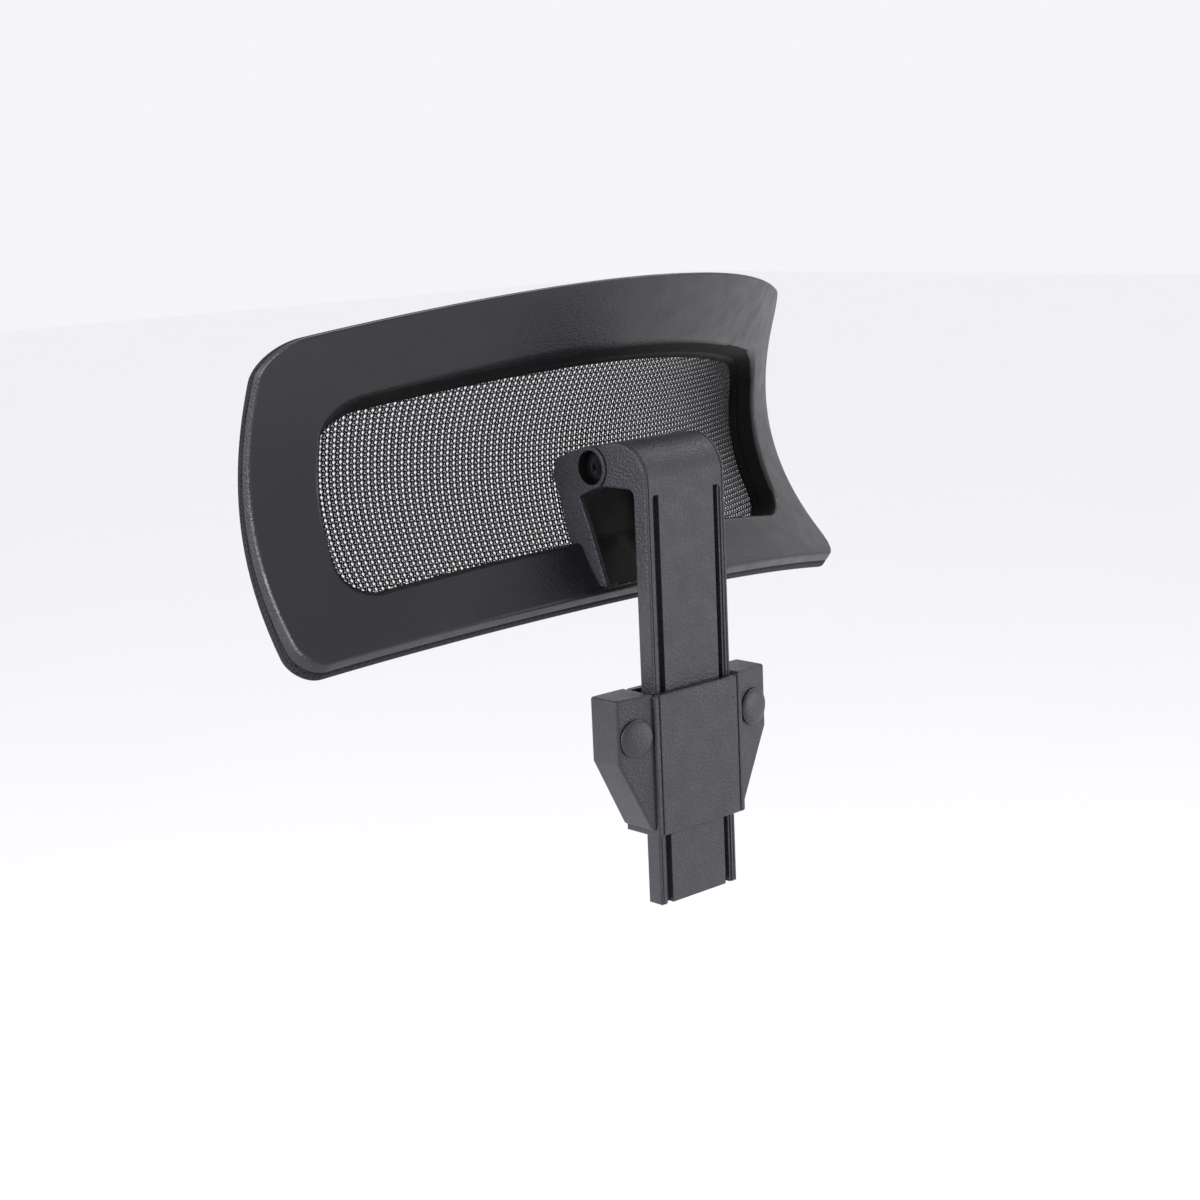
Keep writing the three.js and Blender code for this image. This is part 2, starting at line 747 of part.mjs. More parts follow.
function mountWasher(side) {
  const washer = ring('y', 3.2, 6.3, 6.3, 7.3);
  const name = side > 0 ? 'mount_washer_left' : 'mount_washer_right';
  return part(name, washer.translate(side * FLANGE.screwX, 0, FLANGE.screwZ), steel(0x9a9ca0, 0.35));
}

// A domed push-in cap that hides a mounting screw. It sits square to the swept flange.
function screwCap(side) {
  const profile = [
    [0, -CAP.stemLength],
    [CAP.stemRadius, -CAP.stemLength],
    [CAP.stemRadius, GAP],
    [CAP.radius, GAP],
    [CAP.radius, 0.9],
  ];
  const steps = 5;
  for (let step = 1; step <= steps; step += 1) {
    const share = step / steps;
    const radius = CAP.radius * Math.cos(share * Math.PI / 2);
    profile.push([radius < 0.01 ? 0 : radius, 0.9 + (CAP.rise - 0.9) * Math.sin(share * Math.PI / 2)]);
  }
  const name = side > 0 ? 'screw_cap_left' : 'screw_cap_right';
  const cap = part(name, turned('y', profile), plastic(0x2e2e31, 0.5));
  cap.rotation.z = -side * FLANGE.sweep;
  cap.position.set(side * FLANGE.screwX, FLANGE.rearY, FLANGE.screwZ);
  return cap;
}

// ---------------------------------------------------------------- assembly

const bracket = new THREE.Group();
bracket.add(bracketHousing(), backPlate(), frictionPad(), leafSpring());
plateScrewSites().forEach((site) => bracket.add(plateScrew(site)));
[-1, 1].forEach((side) => {
  bracket.add(glideLiner(side), mountScrew(side), mountWasher(side), screwCap(side));
});

const slider = new THREE.Group();
slider.add(sliderBar(), travelStop(), travelStopScrew(), pivotBush(-1), pivotBush(1));

const headrest = new THREE.Group();
headrest.add(headrestFrame(), meshCarrier(), meshHem(), meshPanel());
headrest.add(pivotBolt(), pivotNut(), frictionWasher(-1), frictionWasher(1));

const group = new THREE.Group();
group.add(bracket, slider, headrest);

export default group;
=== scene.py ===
"""Looks for the chair headrest attachment: smooth mouldings, knitted mesh, studio light.

Lengths below are millimetres in the CAD frame unless a name says otherwise; every mesh is
scaled to metres as it is made.
"""
import json
import math

import bmesh
import bpy
import numpy as np
from mathutils import Matrix, Vector


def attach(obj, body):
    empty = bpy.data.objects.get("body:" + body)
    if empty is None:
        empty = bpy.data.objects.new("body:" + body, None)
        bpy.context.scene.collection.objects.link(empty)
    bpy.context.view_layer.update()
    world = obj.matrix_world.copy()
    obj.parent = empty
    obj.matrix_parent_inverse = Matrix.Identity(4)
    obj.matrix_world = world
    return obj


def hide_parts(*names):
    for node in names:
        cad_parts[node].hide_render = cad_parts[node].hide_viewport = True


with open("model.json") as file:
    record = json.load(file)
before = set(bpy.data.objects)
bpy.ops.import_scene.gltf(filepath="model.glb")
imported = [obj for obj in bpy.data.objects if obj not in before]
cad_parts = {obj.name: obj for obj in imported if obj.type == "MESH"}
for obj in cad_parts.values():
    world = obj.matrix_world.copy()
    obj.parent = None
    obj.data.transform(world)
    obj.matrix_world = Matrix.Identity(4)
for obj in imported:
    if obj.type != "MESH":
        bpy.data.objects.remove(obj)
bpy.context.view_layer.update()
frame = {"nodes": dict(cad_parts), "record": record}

MM = 0.001

# ---------------------------------------------------------------- driving dimensions

SADDLE = {
    "mid_z": 140,
    "mid_y": -27.2,
    "lean": 0.25,
    "bend": 0.00563,
    "ease": -0.000019,
    "wrap": 0.00223,
    "wrap_rise": 0.000007,
}

REAR_OUTLINE = {
    "half_width": 148.1,
    "top_z": 197.2,
    "bottom_z": 69.5,
    "top_sag": 0.00085,
    "bottom_sag": 0.00056,
    "taper": -0.00047,
    "top_radius": 13.6,
    "bottom_radius": 9.5,
}
REAR_RIM = {
    "half_width": 123.8,
    "top_z": 169,
    "bottom_z": 89.3,
    "top_sag": 0.00099,
    "bottom_sag": 0.00073,
    "taper": -0.00037,
    "top_radius": 13,
    "bottom_radius": 15.5,
}
FRONT_OUTLINE = {**REAR_OUTLINE, "half_width": 149, "top_z": 197, "bottom_z": 61.1}
FRONT_RIM = {**REAR_RIM, "half_width": 119.5, "top_z": 161.3, "bottom_z": 86.4}

OUTER_DEPTH = 8
RIM_DEPTH = 12
FRAME_DEPTHS = (3.9, 8.4)
CARRIER_BACK = (4.4, 8.7)
CARRIER_FRONT = (7.7, 11.7)

PIVOT = Vector((0, -15.4, 120.6))
EAR_INNER, EAR_OUTER, EAR_WALL = 16.5, 22.8, 2.2
BOSS_RADIUS = 8.8
RECESS_RADIUS, RECESS_DEPTH = 7.2, 4.4
BOLT_HOLE_RADIUS, BUSH_HOLE_RADIUS = 3.3, 5.3
KNUCKLE_RADIUS = 8
KNUCKLE_HALF = 15.2

BAR_HALF = 22.5
BAR_FRONT, BAR_REAR = 8.5, 16
BAR_BOTTOM = -60
ARM_TOP, ARM_UNDERSIDE = 131.8, 113
SHOULDER_RADIUS = 16
GROOVE_X, GROOVE_WIDTH, GROOVE_DEPTH, GROOVE_TOP = 17.0, 2.9, 2.6, 111
REBATE_WIDTH, REBATE_DEPTH = 1.2, 0.5
STOP_SCREW_Z, STOP_SCREW_RADIUS = -54, 2.2

SLEEVE_HALF, SLEEVE_REAR, SLEEVE_LINE = 25.5, 19.6, 22.7
SLEEVE_TOP, SLEEVE_BOTTOM = 30, -29.5
CHANNEL_HALF = 24.1
WING_HALF, WING_TOP, WING_CORNER = 43, 30.8, 4
WING_FOOT_HALF, WING_FOOT = 27, -26.5
WING_DEPTH = 18.2
PLATE_HALF, PLATE_TOP, PLATE_CORNER = 29.5, 27.5, -14
PLATE_FOOT_HALF, PLATE_FOOT = 21, -27.5
PLATE_SEAT_DEPTH = 2.9
PLATE_SCREW_X, PLATE_SCREW_ZS = 26.6, (24, -8)
CAP_X, CAP_Y, CAP_Z = 34.1, 17, 14
CAP_RADIUS, CAP_STEM_RADIUS, CAP_DOME = 8, 6.2, 1.7
COUNTERBORE_RADIUS, MOUNT_HOLE_RADIUS = 6.8, 3.3
BOLT_HEAD_RADIUS, BOLT_HEAD_DOME = 6.6, 1.7
SWEEP = math.radians(6.7)

# One repeat of the knit: a long hole, and a round one half a row away. The holes are half
# widths and half heights, as shares of the repeat.
KNIT_WIDTH, KNIT_HEIGHT = 2.76, 2.3
LONG_HOLE, ROUND_HOLE = (0.155, 0.3), (0.085, 0.105)
ROUND_HOLE_LIFT = 0.14
KNIT_RELIEF = 0.5
CLOTH_OUTER_DEPTH, CLOTH_RIM_DEPTH = 8.15, 12.45
WINDOW_Z = 123

# ---------------------------------------------------------------- headrest surface


def saddle_y(x, z):
    """The rear face of the headrest: curved along the neck and wrapped round the head."""
    rise = z - SADDLE["mid_z"]
    neck = SADDLE["lean"] * rise + SADDLE["bend"] * rise**2 + SADDLE["ease"] * rise**3
    return SADDLE["mid_y"] + neck - (SADDLE["wrap"] + SADDLE["wrap_rise"] * rise) * x**2


def outline(spec, corner_steps=14, long_steps=64, short_steps=22):
    """Points round a rounded, bent rectangle as an (n, 2) array of x and z."""
    half, top, bottom = spec["half_width"], spec["top_z"], spec["bottom_z"]
    corners = [
        (1, bottom, spec["bottom_radius"], -0.5),
        (1, top, spec["top_radius"], 0.0),
        (-1, top, spec["top_radius"], 0.5),
        (-1, bottom, spec["bottom_radius"], 1.0),
    ]
    arcs = []
    for side, z, radius, start in corners:
        inward = -1 if z == top else 1
        angle = np.pi * (start + 0.5 * np.linspace(0, 1, corner_steps + 1))
        x = side * (half - radius) + radius * np.cos(angle)
        arcs.append(np.stack([x, z + inward * radius + radius * np.sin(angle)], axis=1))
    points = []
    for index, arc in enumerate(arcs):
        following = arcs[(index + 1) % 4]
        steps = short_steps if index % 2 == 0 else long_steps
        share = (np.arange(1, steps) / steps)[:, None]
        points.append(arc)
        points.append(arc[-1] + (following[0] - arc[-1]) * share)
    flat = np.concatenate(points)
    height = (flat[:, 1] - bottom) / (top - bottom)
    sag = spec["bottom_sag"] + (spec["top_sag"] - spec["bottom_sag"]) * height
    bent_x = flat[:, 0] * (1 + spec["taper"] * (flat[:, 1] - SADDLE["mid_z"]))
    return np.stack([bent_x, flat[:, 1] - sag * flat[:, 0] ** 2], axis=1)


OUTER, RIM = outline(REAR_OUTLINE), outline(REAR_RIM)
OUTER_FRONT, RIM_FRONT = outline(FRONT_OUTLINE), outline(FRONT_RIM)
BAND_WIDTH = np.hypot(*(RIM - OUTER).T)


def edge_ring(share, outer_depth, rim_depth):
    """A ring of the headrest's edge. share runs from 0 outside to 1 on the opening's rim."""
    share = np.broadcast_to(share, BAND_WIDTH.shape)[:, None]

    def at_depth(rear, front, depth, full):
        place = rear + (front - rear) * depth / full
        return np.stack([place[:, 0], saddle_y(*rear.T) - depth, place[:, 1]], axis=1)

    outer = at_depth(OUTER, OUTER_FRONT, outer_depth, OUTER_DEPTH)
    rim = at_depth(RIM, RIM_FRONT, rim_depth, RIM_DEPTH)
    ring = outer + (rim - outer) * share
    middle = OUTER + (RIM - OUTER) * share
    chord = saddle_y(*OUTER.T) + (saddle_y(*RIM.T) - saddle_y(*OUTER.T)) * share[:, 0]
    ring[:, 1] += saddle_y(*middle.T) - chord
    return ring


def outer_fillet(radius, steps=5):
    """Rings that round the outer rear edge, from the side wall onto the rear face."""
    angles = np.linspace(np.pi / 2, 0, steps)
    return [edge_ring(radius * (1 - np.sin(a)) / BAND_WIDTH, radius * (1 - np.cos(a)), 0) for a in angles]


def rim_fillet(radius, steps=6):
    """Rings that round the opening's rim, from the rear face onto the inner wall."""
    angles = np.linspace(0, np.pi / 2, steps)
    return [edge_ring(1 - radius * (1 - np.sin(a)) / BAND_WIDTH, 0, radius * (1 - np.cos(a))) for a in angles]


# ---------------------------------------------------------------- mesh helpers


def new_piece(name, vertices, faces, body, slot, *nodes):
    """A mesh object in metres that rides on a body and stands for CAD nodes."""
    mesh = bpy.data.meshes.new(name)
    mesh.from_pydata([tuple(v) for v in np.asarray(vertices) * MM], [], faces)
    mesh.validate()
    piece = bpy.data.objects.new(name, mesh)
    bpy.context.scene.collection.objects.link(piece)
    settle_normals(piece)
    return enrol(piece, body, slot, *nodes)


def enrol(piece, body, slot, *nodes):
    """Hangs a piece on its body's empty and hides the CAD nodes it stands for; slot is not used."""
    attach(piece, body)
    if nodes:
        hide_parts(*nodes)
    return piece


def settle_normals(piece):
    """Joins points that coincide and turns every face outwards."""
    work = bmesh.new()
    work.from_mesh(piece.data)
    bmesh.ops.remove_doubles(work, verts=work.verts, dist=1e-6)
    bmesh.ops.recalc_face_normals(work, faces=work.faces)
    work.to_mesh(piece.data)
    work.free()


def loose_solid(name, vertices, faces, material=None):
    """A helper solid for cutting or joining; it is used up and never stays in the scene."""
    mesh = bpy.data.meshes.new(name)
    mesh.from_pydata([tuple(v) for v in np.asarray(vertices) * MM], [], faces)
    solid = bpy.data.objects.new(name, mesh)
    bpy.context.scene.collection.objects.link(solid)
    settle_normals(solid)
    if material:
        mesh.materials.append(material)
    return solid


def ring_faces(rows, count, closed_rows):
    """Quads between successive rings of count points."""
    faces = []
    for row in range(rows if closed_rows else rows - 1):
        following = (row + 1) % rows
        for column in range(count):
            beside = (column + 1) % count
            faces.append((row * count + column, row * count + beside,
                          following * count + beside, following * count + column))
    return faces


def ring_tube(rings):
    """Rings joined side by side, and the last to the first: a solid with a hole through it."""
    return np.concatenate(rings), ring_faces(len(rings), len(rings[0]), True)


def capped_rings(rings):
    """Rings joined side by side, with the first and the last closed by one face each."""
    count = len(rings[0])
    faces = ring_faces(len(rings), count, False)
    faces.append(tuple(range(count - 1, -1, -1)))
    faces.append(tuple(range((len(rings) - 1) * count, len(rings) * count)))
    return np.concatenate(rings), faces


def turned(axis, centre, profile, segments=64):
    """A solid turned about an axis from (radius, distance along) pairs, with flat ends."""
    angle = 2 * np.pi * np.arange(segments) / segments
    along = np.asarray(axis, float)
    first = np.cross(along, (0, 0, 1))
    first /= np.linalg.norm(first)
    second = np.cross(along, first)
    rings = []
    for radius, distance in profile:
        circle = np.outer(np.cos(angle), first) + np.outer(np.sin(angle), second)
        rings.append(np.asarray(centre) + along * distance + radius * circle)
    return capped_rings(rings)


def dome(radius, base, rise, steps):
    """The (radius, distance along) pairs of a soft-edged dome that stands on a base."""
    profile = []
    for step in range(1, steps):
        angle = step / steps * math.pi / 2
        profile.append((radius * math.cos(angle) ** 0.8, base + rise * math.sin(angle)))
    return profile


def box_solid(name, low, high):
    (x0, y0, z0), (x1, y1, z1) = low, high
    corners = [(x, y, z) for x in (x0, x1) for y in (y0, y1) for z in (z0, z1)]
    faces = [(0, 1, 3, 2), (4, 6, 7, 5), (0, 4, 5, 1), (2, 3, 7, 6), (0, 2, 6, 4), (1, 5, 7, 3)]
    return loose_solid(name, corners, faces)


def apply_modifiers(piece):
    bpy.context.view_layer.update()
    depsgraph = bpy.context.evaluated_depsgraph_get()
    mesh = bpy.data.meshes.new_from_object(piece.evaluated_get(depsgraph))
    old = piece.data
    piece.modifiers.clear()
    piece.data = mesh
    bpy.data.meshes.remove(old)


def combine(piece, operation, *tools):
    """Cuts or joins the tools into the piece, one after another, and removes them.

    Faces that come from a tool keep the tool's material.
    """
    for tool in tools:
        modifier = piece.modifiers.new(operation.lower(), "BOOLEAN")
        modifier.operation = operation
        modifier.solver = "EXACT"
        modifier.material_mode = "TRANSFER"
        modifier.object = tool
        apply_modifiers(piece)
        bpy.data.objects.remove(tool)


def bevel(piece, width, segments):
    modifier = piece.modifiers.new("bevel", "BEVEL")
    modifier.width = width * MM
    modifier.segments = segments
    modifier.limit_method = "ANGLE"
    modifier.angle_limit = math.radians(30)
    apply_modifiers(piece)


def smooth_by_angle(piece, angle):
    """Smooth shading that keeps flat faces flat and real corners crisp."""
    mesh = piece.data
    mesh.polygons.foreach_set("use_smooth", [True] * len(mesh.polygons))
    mesh.set_sharp_from_angle(angle=math.radians(angle))
    modifier = piece.modifiers.new("even_normals", "WEIGHTED_NORMAL")
    modifier.keep_sharp = True
    apply_modifiers(piece)


def surface(piece, material, angle=32):
    """One material all over, and smooth shading."""
    piece.data.materials.clear()
    piece.data.materials.append(material)
    piece.data.polygons.foreach_set("material_index", [0] * len(piece.data.polygons))
    smooth_by_angle(piece, angle)


def rounded_path(points, radii, steps=10):
    """A polygon in a plane with each corner rounded to its own radius, as an (n, 2) array."""
    path = []
    count = len(points)
    for index, corner in enumerate(points):
        corner = np.asarray(corner, float)
        before = np.asarray(points[index - 1], float) - corner
        after = np.asarray(points[(index + 1) % count], float) - corner
        radius = radii[index]
        before_unit = before / np.linalg.norm(before)
        after_unit = after / np.linalg.norm(after)
        if radius <= 0:
            path.append(corner)
            continue
        half_angle = 0.5 * math.acos(np.clip(before_unit @ after_unit, -1, 1))
        reach = radius / math.tan(half_angle)
        centre = corner + (before_unit + after_unit) / np.linalg.norm(before_unit + after_unit) \
            * radius / math.sin(half_angle)
        start = corner + before_unit * reach - centre
        finish = corner + after_unit * reach - centre
        sweep = math.atan2(start[0] * finish[1] - start[1] * finish[0], start @ finish)
        for step in range(steps + 1):
            turn = sweep * step / steps
            cosine, sine = math.cos(turn), math.sin(turn)
            path.append(centre + (cosine * start[0] - sine * start[1], sine * start[0] + cosine * start[1]))
    return np.array(path)


def inset_path(path, distance):
    """The path moved inwards by a distance, along the average normal of its two edges."""
    before = path - np.roll(path, 1, axis=0)
    after = np.roll(path, -1, axis=0) - path
    before /= np.linalg.norm(before, axis=1)[:, None]
    after /= np.linalg.norm(after, axis=1)[:, None]
    area = 0.5 * np.sum(path[:, 0] * np.roll(path[:, 1], -1) - np.roll(path[:, 0], -1) * path[:, 1])
    inward = math.copysign(1, area)
    normal = inward * np.stack([-(before + after)[:, 1], (before + after)[:, 0]], axis=1)
    length = np.linalg.norm(normal, axis=1)[:, None]
    cosine = np.clip(0.5 * length, 0.5, 1)
    return path + normal / length * distance / cosine


def side_loft(path, stations):
    """A solid lofted along X: each station is (x, inset) of a (y, z) path."""
    rings = []
    for x, inset in stations:
        section = inset_path(path, inset) if inset else path
        rings.append(np.column_stack([np.full(len(section), float(x)), section]))
    return capped_rings(rings)


# ---------------------------------------------------------------- materials


class Nodes:
    """A small builder for a material's node tree."""

    def __init__(self, name):
        self.material = bpy.data.materials.new(name)
        self.material.use_nodes = True
        self.tree = self.material.node_tree
        self.shader = self.tree.nodes["Principled BSDF"]
        self.place = self.add("ShaderNodeTexCoord").outputs["Object"]

    def add(self, kind, **settings):
        node = self.tree.nodes.new(kind)
        for key, value in settings.items():
            setattr(node, key, value)
        return node

    def link(self, source, target):
        self.tree.links.new(source, target)

    def noise(self, scale, detail=3.0, roughness=0.5):
        node = self.add("ShaderNodeTexNoise")
        node.inputs["Scale"].default_value = scale
        node.inputs["Detail"].default_value = detail
        node.inputs["Roughness"].default_value = roughness
        self.link(self.place, node.inputs["Vector"])
        return node.outputs["Fac"]

    def cells(self, scale):
        node = self.add("ShaderNodeTexVoronoi", feature="SMOOTH_F1")
        node.inputs["Scale"].default_value = scale
        node.inputs["Smoothness"].default_value = 0.6
        self.link(self.place, node.inputs["Vector"])
        return node.outputs["Distance"]

    def ramp(self, value, low, high, start=0.3, end=0.7):
        node = self.add("ShaderNodeMapRange")
        node.inputs["From Min"].default_value = start
        node.inputs["From Max"].default_value = end
        node.inputs["To Min"].default_value = low
        node.inputs["To Max"].default_value = high
        self.link(value, node.inputs["Value"])
        return node.outputs["Result"]

    def blend_colour(self, value, dark, light):
        node = self.add("ShaderNodeMix", data_type="RGBA")
        node.inputs["A"].default_value = (*dark, 1)
        node.inputs["B"].default_value = (*light, 1)
        self.link(value, node.inputs["Factor"])
        return node.outputs["Result"]

    def math(self, operation, first, second=0.0):
        node = self.add("ShaderNodeMath", operation=operation)
        for socket, value in zip(node.inputs, (first, second)):
            if isinstance(value, (int, float)):
                socket.default_value = value
            else:
                self.link(value, socket)
        return node.outputs["Value"]

    def bump(self, height, distance_mm, strength=1.0, normal=None):
        node = self.add("ShaderNodeBump")
        node.inputs["Distance"].default_value = distance_mm * MM
        node.inputs["Strength"].default_value = strength
        self.link(height, node.inputs["Height"])
        if normal is not None:
            self.link(normal, node.inputs["Normal"])
        return node.outputs["Normal"]


def moulded_plastic(name, colour, roughness=0.5, grain_mm=0.55, depth_mm=0.05, specular=0.5):
    """Dark moulded plastic with a spark-eroded grain, faint mottling and uneven gloss."""
    nodes = Nodes(name)
    mottle = nodes.noise(38, detail=4)
    grain = nodes.math("ADD", nodes.noise(1000 / grain_mm, detail=2), nodes.cells(600 / grain_mm))
    dark = tuple(0.86 * c for c in colour)
    light = tuple(1.16 * c for c in colour)
    nodes.link(nodes.blend_colour(mottle, dark, light), nodes.shader.inputs["Base Color"])
    gloss = nodes.ramp(nodes.noise(120, detail=5), roughness - 0.05, roughness + 0.07)
    nodes.link(gloss, nodes.shader.inputs["Roughness"])
    ripple = nodes.bump(nodes.noise(55, detail=2), 0.1, 0.2)
    nodes.link(nodes.bump(grain, depth_mm, 1.0, ripple), nodes.shader.inputs["Normal"])
    nodes.shader.inputs["Specular IOR Level"].default_value = specular
    return nodes.material


def metal(name, colour, roughness=0.3):
    nodes = Nodes(name)
    tint = nodes.blend_colour(nodes.noise(90, 4), tuple(0.8 * c for c in colour), colour)
    nodes.link(tint, nodes.shader.inputs["Base Color"])
    gloss = nodes.ramp(nodes.noise(700, 4), roughness - 0.06, roughness + 0.1)
    nodes.link(gloss, nodes.shader.inputs["Roughness"])
    nodes.link(nodes.bump(nodes.noise(1500, 2), 0.02, 0.5), nodes.shader.inputs["Normal"])
    nodes.shader.inputs["Metallic"].default_value = 1
    return nodes.material


def acetal_plastic(name):
    nodes = Nodes(name)
    tint = nodes.blend_colour(nodes.noise(60, 3), (0.62, 0.6, 0.52), (0.72, 0.7, 0.63))
    nodes.link(tint, nodes.shader.inputs["Base Color"])
    nodes.link(nodes.ramp(nodes.noise(400, 3), 0.3, 0.42), nodes.shader.inputs["Roughness"])
    nodes.link(nodes.bump(nodes.noise(900, 2), 0.02, 0.4), nodes.shader.inputs["Normal"])
    return nodes.material


def yarn(name):
    """The thread of the mesh where the holes are modelled."""
    nodes = Nodes(name)
    fibre = nodes.noise(2600, detail=4, roughness=0.7)
    nodes.link(nodes.blend_colour(fibre, (0.004, 0.004, 0.0045), (0.022, 0.022, 0.025)),
               nodes.shader.inputs["Base Color"])
    nodes.link(nodes.ramp(fibre, 0.6, 0.85), nodes.shader.inputs["Roughness"])
    nodes.link(nodes.bump(fibre, 0.05, 0.8), nodes.shader.inputs["Normal"])
    nodes.shader.inputs["Specular IOR Level"].default_value = 0.2
    nodes.shader.inputs["Sheen Weight"].default_value = 0.06
    return nodes.material


def hole_mask(nodes, along_u, along_v, offset, half_u, half_v):
    """1 inside the elliptical hole of each knit repeat, fading to 0 at its edge."""
    def from_centre(coordinate, half):
        shifted = nodes.math("ADD", coordinate, 0.5 + offset)
        centred = nodes.math("SUBTRACT", nodes.math("FRACT", shifted), 0.5)
        return nodes.math("POWER", nodes.math("ABSOLUTE", nodes.math("DIVIDE", centred, half)), 2)

    distance = nodes.math("ADD", from_centre(along_u, half_u), from_centre(along_v, half_v))
    return nodes.ramp(distance, 1.0, 0.0, 0.75, 1.15)


def backed_knit(name):
    """The same knit where it lies on the carrier: its holes show as dark dimples."""
    nodes = Nodes(name)
    knit = nodes.add("ShaderNodeUVMap", uv_map="knit")
    split = nodes.add("ShaderNodeSeparateXYZ")
    nodes.link(knit.outputs["UV"], split.inputs["Vector"])
    along_u, along_v = split.outputs["X"], split.outputs["Y"]
    large = hole_mask(nodes, along_u, along_v, 0.0, 0.22, 0.39)
    small = hole_mask(nodes, along_u, along_v, 0.5, 0.16, 0.2)
    holes = nodes.math("MAXIMUM", large, small)
    fibre = nodes.noise(2600, detail=3, roughness=0.7)
    thread = nodes.blend_colour(fibre, (0.006, 0.006, 0.007), (0.024, 0.024, 0.027))
    colour = nodes.add("ShaderNodeMix", data_type="RGBA")
    nodes.link(holes, colour.inputs["Factor"])
    nodes.link(thread, colour.inputs["A"])
    colour.inputs["B"].default_value = (0.002, 0.002, 0.002, 1)
    nodes.link(colour.outputs["Result"], nodes.shader.inputs["Base Color"])
    nodes.link(nodes.ramp(fibre, 0.6, 0.85), nodes.shader.inputs["Roughness"])
    height = nodes.math("SUBTRACT", nodes.math("MULTIPLY", fibre, 0.15), holes)
    nodes.link(nodes.bump(height, 0.35, 0.9), nodes.shader.inputs["Normal"])
    nodes.shader.inputs["Specular IOR Level"].default_value = 0.2
    nodes.shader.inputs["Sheen Weight"].default_value = 0.06
    return nodes.material


SHELL = moulded_plastic("shell", (0.0062, 0.006, 0.0086), roughness=0.37, grain_mm=0.6, depth_mm=0.11)
BAR = moulded_plastic("bar", (0.022, 0.0232, 0.0295), roughness=0.42, grain_mm=0.6, depth_mm=0.2)
BRACKET = moulded_plastic("bracket", (0.0195, 0.0203, 0.0262), roughness=0.4, grain_mm=0.6, depth_mm=0.19)
CAP = moulded_plastic("cap", (0.02, 0.0203, 0.0275), roughness=0.36, grain_mm=0.6, depth_mm=0.12)
# A darker, duller copy of the plastic: the carrier ring's own colour, and painted shade on the opening's
# wall, in the pocket between the ears, on its web and in the bores.
INNER_PLASTIC_AND_PAINTED_SHADE = moulded_plastic("inner", (0.003, 0.003, 0.0035), roughness=0.62, grain_mm=0.5, depth_mm=0.06,
                        specular=0.2)
STEEL = metal("zinc_steel", (0.55, 0.55, 0.57))
BLACK_STEEL = moulded_plastic("black_steel", (0.006, 0.006, 0.007), roughness=0.12, depth_mm=0.004)
ACETAL = acetal_plastic("acetal")
YARN = yarn("yarn")
BACKED_KNIT = backed_knit("backed_knit")

SLOT_MATERIALS = {
    "shell_plastic": SHELL,
    "bar_plastic": BAR,
    "bracket_plastic": BRACKET,
    "cap_plastic": CAP,
    "inner_plastic": INNER_PLASTIC_AND_PAINTED_SHADE,
    "acetal": ACETAL,
    "knit": BACKED_KNIT,
    "black_steel": BLACK_STEEL,
    "steel": STEEL,
}


def dress_cad_nodes():
    """Gives every carried-over CAD node the material of its slot."""
    for entry in frame["record"]["subparts"]:
        node = frame["nodes"][entry["node"]]
        node.data.materials.clear()
        node.data.materials.append(SLOT_MATERIALS[entry["material_slot"]])


# ---------------------------------------------------------------- headrest frame


def ear_path():
    """The ear's outline in (y, z): a leg from the rim of the lower rail up to the pivot."""
    corners = [(-19.4, 129.0), (-37.0, 123.2), (-40.0, 115.5), (-35.3, 106.5), (-31.9, 93), (-29.2, 87.5),
               (-22, 79), (-13, 71), (-9, 71.8), (-17.5, 94.3), (-23.3, 107.9), (-13.4, 112.2)]
    radii = [0, 5, 3, 2, 6, 0, 0, 0, 0, 20, 0, 0]
    return rounded_path(corners, radii)


def make_ears():
    """The two ears with their bosses, and the wall between their front edges, which carries painted shade."""
    tools = []
    for side in (-1, 1):
        inner, outer = side * EAR_INNER, side * EAR_OUTER
        edge = 0.7
        stations = [(inner, 0), (outer - side * edge, 0), (outer - side * 0.2, 0.25), (outer, edge)]
        tools.append(loose_solid("ear", *side_loft(ear_path(), stations), BAR))
        profile = [(BOSS_RADIUS, EAR_INNER), (BOSS_RADIUS, EAR_OUTER + 0.1),
                   (BOSS_RADIUS - 0.15, EAR_OUTER + 0.4), (BOSS_RADIUS - 0.5, EAR_OUTER + 0.5)]
        tools.append(loose_solid("boss", *turned((side, 0, 0), PIVOT, profile, 72), BAR))
    web = [(-39.2, 119), (-39.5, 115.5), (-35.2, 106.5), (-31.9, 93), (-29.2, 87.5),
           (-26.8, 87.5), (-28.6, 93), (-31.8, 105.5), (-36, 114.5), (-36, 119)]
    path = np.array(web, float)
    # The web takes the darker plastic as painted shade.
    tools.append(loose_solid("web", *side_loft(path, [(-EAR_INNER - 1, 0), (EAR_INNER + 1, 0)]), INNER_PLASTIC_AND_PAINTED_SHADE))
    return tools


def make_rail_pockets():
    """The hollow between the ears: sunk into the rail, and up behind the front wall."""
    inner = EAR_OUTER - EAR_WALL
    lower = [(-27.5, 89.4), (-13.4, 69.4), (5.4, 82.7), (-8.7, 102.7)]
    upper = [(-28.0, 92), (-31.2, 105.5), (-33.5, 110.4), (-14, 110.4), (-4, 92), (-10, 84)]
    # The pocket's faces take the darker plastic as painted shade.
    return [loose_solid("pocket", *side_loft(np.array(path, float), [(-inner, 0), (inner, 0)]), INNER_PLASTIC_AND_PAINTED_SHADE)
            for path in (lower, upper)]


